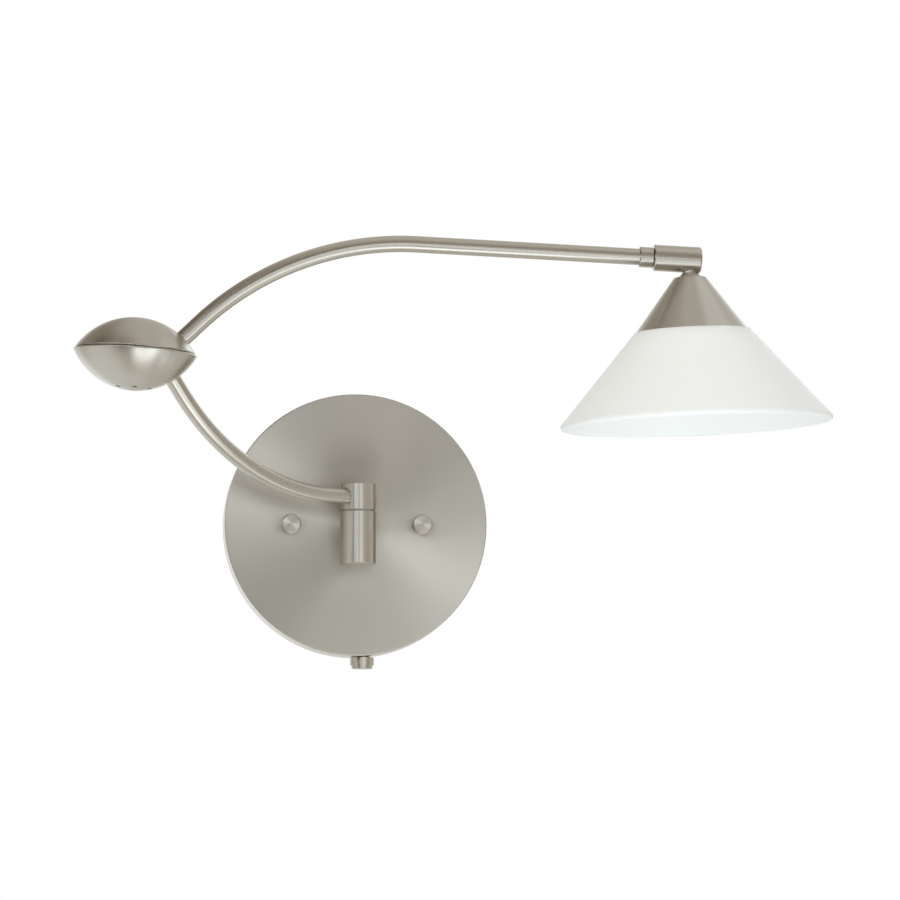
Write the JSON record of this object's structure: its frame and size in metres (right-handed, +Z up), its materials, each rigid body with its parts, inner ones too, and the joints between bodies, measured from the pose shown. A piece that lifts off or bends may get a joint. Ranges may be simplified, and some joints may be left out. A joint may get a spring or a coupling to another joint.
{
  "type": "swing arm wall lamp",
  "caption": "Hard-wired wall lamp: round canopy with dimmer knob, hinged bent-tube arms meeting in a round elbow housing, swivelling conical opal glass shade.",
  "frame": {"origin": "centre of the canopy's back, on the wall plane, midway between the two box-screw slots", "axes": "+X to the right along the wall, +Y into the wall, +Z up"},
  "size_m": [0.3628, 0.174, 0.2],
  "materials": {
    "satin_nickel": "brushed satin nickel plate",
    "zinc_steel": "zinc plated",
    "dark_steel": "black oxide",
    "green_steel": "green passivated",
    "dimmer_plastic": "moulded, matte",
    "brass": "turned",
    "nylon": "natural nylon",
    "cast_zinc": "die cast, unpolished",
    "lead_insulation": "extruded sleeve",
    "opal_glass": "opal white, satin",
    "white_enamel": "white heat-proof enamel",
    "holder_ceramic": "unglazed steatite",
    "frosted_glass": "frosted",
    "pin_nickel": "drawn wire"
  },
  "bodies": {
    "wall_base": {"canopy": "satin_nickel", "crossbar": "zinc_steel", "ground_screw": "green_steel", "canopy_studs": "zinc_steel", "stud_nuts": "zinc_steel", "cap_nuts": "satin_nickel", "dimmer_body": "dimmer_plastic", "dimmer_nut": "brass", "hinge_barrel": "satin_nickel", "barrel_spacer": "satin_nickel", "barrel_nipple": "zinc_steel", "nipple_washer": "zinc_steel", "nipple_nut": "zinc_steel", "pivot_washer": "nylon", "pivot_screw": "dark_steel"},
    "dimmer_control": {"dimmer_knob": "satin_nickel", "dimmer_shaft": "brass"},
    "lower_boom": {"hub": "satin_nickel", "lower_arm": "satin_nickel", "lower_lead": "lead_insulation", "lower_bowl": "satin_nickel", "lower_socket": "cast_zinc", "elbow_washer": "nylon"},
    "upper_boom": {"upper_bowl": "satin_nickel", "upper_socket": "cast_zinc", "elbow_stop": "dark_steel", "elbow_post": "brass", "elbow_spring": "dark_steel", "elbow_nut": "zinc_steel", "upper_arm": "satin_nickel", "upper_lead": "lead_insulation", "swivel_collar": "satin_nickel", "swivel_spindle": "brass"},
    "lamp_head": {"swivel_barrel": "satin_nickel", "swivel_screw": "dark_steel", "stem": "zinc_steel", "stem_cone": "satin_nickel", "stem_nut": "zinc_steel", "shade_cap": "satin_nickel", "glass_shade": "opal_glass", "inner_cup": "white_enamel", "cup_nut": "zinc_steel", "lampholder": "holder_ceramic", "holder_screws": "zinc_steel", "lamp": "frosted_glass", "lamp_pins": "pin_nickel"}
  },
  "joints": [
    {"name": "base_swing", "type": "hinge", "parent": "wall_base", "child": "lower_boom", "pos_m": [0, -0.034, 0], "axis": [0, 0, 1], "range_deg": [-38.7, 141.3]},
    {"name": "elbow_swing", "type": "hinge", "parent": "lower_boom", "child": "upper_boom", "pos_m": [-0.11165, -0.12345, 0.07395], "axis": [0.0679, 0.0037, 0.9977], "range_deg": [-309, 20]},
    {"name": "head_swivel", "type": "hinge", "parent": "upper_boom", "child": "lamp_head", "pos_m": [0.12927, -0.1104, 0.12214], "axis": [0.9976, 0.054, -0.0427], "range_deg": [-135, 135]},
    {"name": "dimmer_turn", "type": "hinge", "parent": "wall_base", "child": "dimmer_control", "pos_m": [0.0036, -0.0095, -0.066], "axis": [0, 0, -1], "range_deg": [0, 280]}
  ]
}
